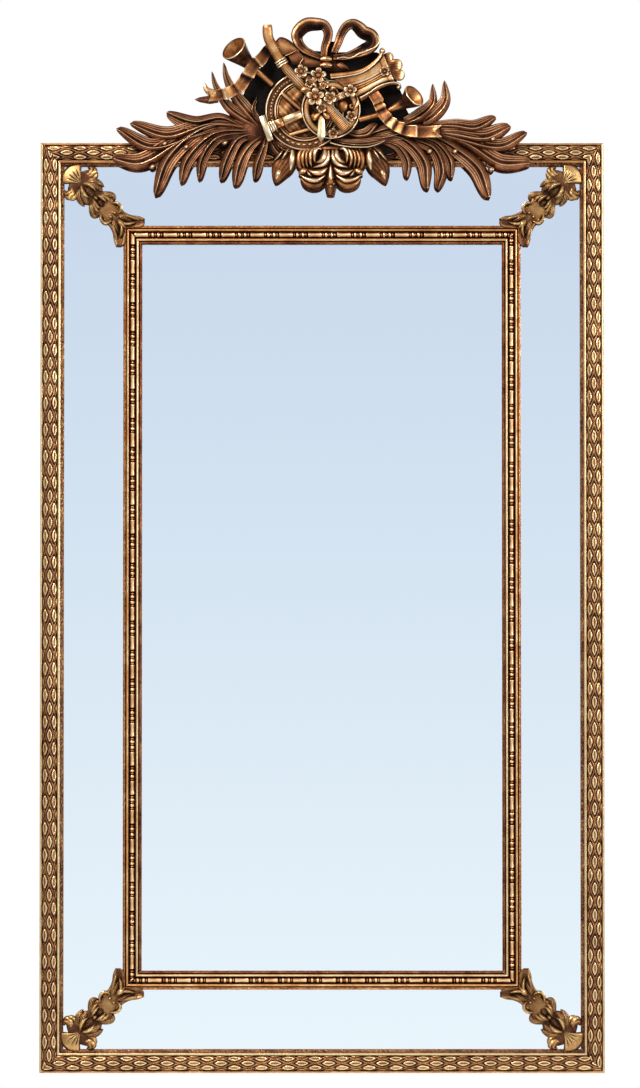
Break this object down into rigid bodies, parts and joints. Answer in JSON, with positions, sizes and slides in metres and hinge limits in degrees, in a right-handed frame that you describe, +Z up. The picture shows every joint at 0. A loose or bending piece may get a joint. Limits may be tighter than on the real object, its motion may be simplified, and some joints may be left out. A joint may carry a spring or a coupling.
{
  "type": "trumeau mirror",
  "caption": "Tall wall mirror with margin glasses, a carved gilt frame, a bead-and-reel inner frame, cast corner mounts and a carved crest of leaves, instruments and a bow.",
  "frame": {"origin": "middle of the hanging line: on the wall plane, half way between the two D-rings, at the height of their pivots", "axes": "+Z up, +Y from the mirror into the wall, so the front faces -Y, and +X to the right as a viewer in front of the mirror sees it"},
  "size_m": [1, 0.1031, 1.8735],
  "materials": {
    "frame_gilt": "carved wood, antique gilt rubbed through to brown",
    "bead_gilt": "carved wood, warm antique gilt",
    "bronze_gilt": "carved wood, bronze patina with rubbed gilt ridges",
    "old_gold": "carved wood, old gold with dark recesses",
    "mirror_glass": "silvered float glass",
    "fibreboard": "raw medium-density fibreboard",
    "dark_wood": "dark stained wood",
    "zinc_steel": "zinc plated",
    "black_rubber": "matt"
  },
  "bodies": {
    "mirror": {"backing_board": "fibreboard", "bead_rail_bottom": "bead_gilt", "bead_rail_top": "bead_gilt", "bead_stile_left": "bead_gilt", "bead_stile_right": "bead_gilt", "bumper_bottom_left": "black_rubber", "bumper_bottom_right": "black_rubber", "bumper_top_left": "black_rubber", "bumper_top_right": "black_rubber", "centre_mirror": "mirror_glass", "corner_mount_bottom_left": "old_gold", "corner_mount_bottom_right": "old_gold", "corner_mount_top_left": "old_gold", "corner_mount_top_right": "old_gold", "corner_plate_bottom_left": "zinc_steel", "corner_plate_bottom_right": "zinc_steel", "corner_plate_top_left": "zinc_steel", "corner_plate_top_right": "zinc_steel", "crest_backboard": "dark_wood", "crest_block": "dark_wood", "crest_strap_left": "zinc_steel", "crest_strap_right": "zinc_steel", "curved_pipe": "old_gold", "flower_cluster": "old_gold", "frame_rail_bottom": "frame_gilt", "frame_rail_top": "frame_gilt", "frame_stile_left": "frame_gilt", "frame_stile_right": "frame_gilt", "hanger_strap_left": "zinc_steel", "hanger_strap_right": "zinc_steel", "horn": "old_gold", "leaf_spray_left": "bronze_gilt", "leaf_spray_right": "bronze_gilt", "lyre": "old_gold", "margin_mirror_bottom": "mirror_glass", "margin_mirror_left": "mirror_glass", "margin_mirror_right": "mirror_glass", "margin_mirror_top": "mirror_glass", "palmette": "old_gold", "retainer_clip_bottom": "zinc_steel", "retainer_clip_left_lower": "zinc_steel", "retainer_clip_left_middle": "zinc_steel", "retainer_clip_left_upper": "zinc_steel", "retainer_clip_right_lower": "zinc_steel", "retainer_clip_right_middle": "zinc_steel", "retainer_clip_right_upper": "zinc_steel", "retainer_clip_top": "zinc_steel", "ribbon_bow": "bronze_gilt", "ribbon_tail_left": "bronze_gilt", "ribbon_tail_right": "bronze_gilt", "tambourine_frame": "bronze_gilt", "tambourine_skin": "old_gold", "trumpet": "old_gold", "wreath_ring": "old_gold"},
    "ring_left": {"hanger_ring_left": "zinc_steel"},
    "ring_right": {"hanger_ring_right": "zinc_steel"}
  },
  "joints": [
    {"name": "ring_left_swing", "type": "hinge", "parent": "mirror", "child": "ring_left", "pos_m": [-0.483, -0.00425, 0], "axis": [1, 0, 0], "range_deg": [0, 180]},
    {"name": "ring_right_swing", "type": "hinge", "parent": "mirror", "child": "ring_right", "pos_m": [0.483, -0.00425, 0], "axis": [1, 0, 0], "range_deg": [0, 180]}
  ]
}
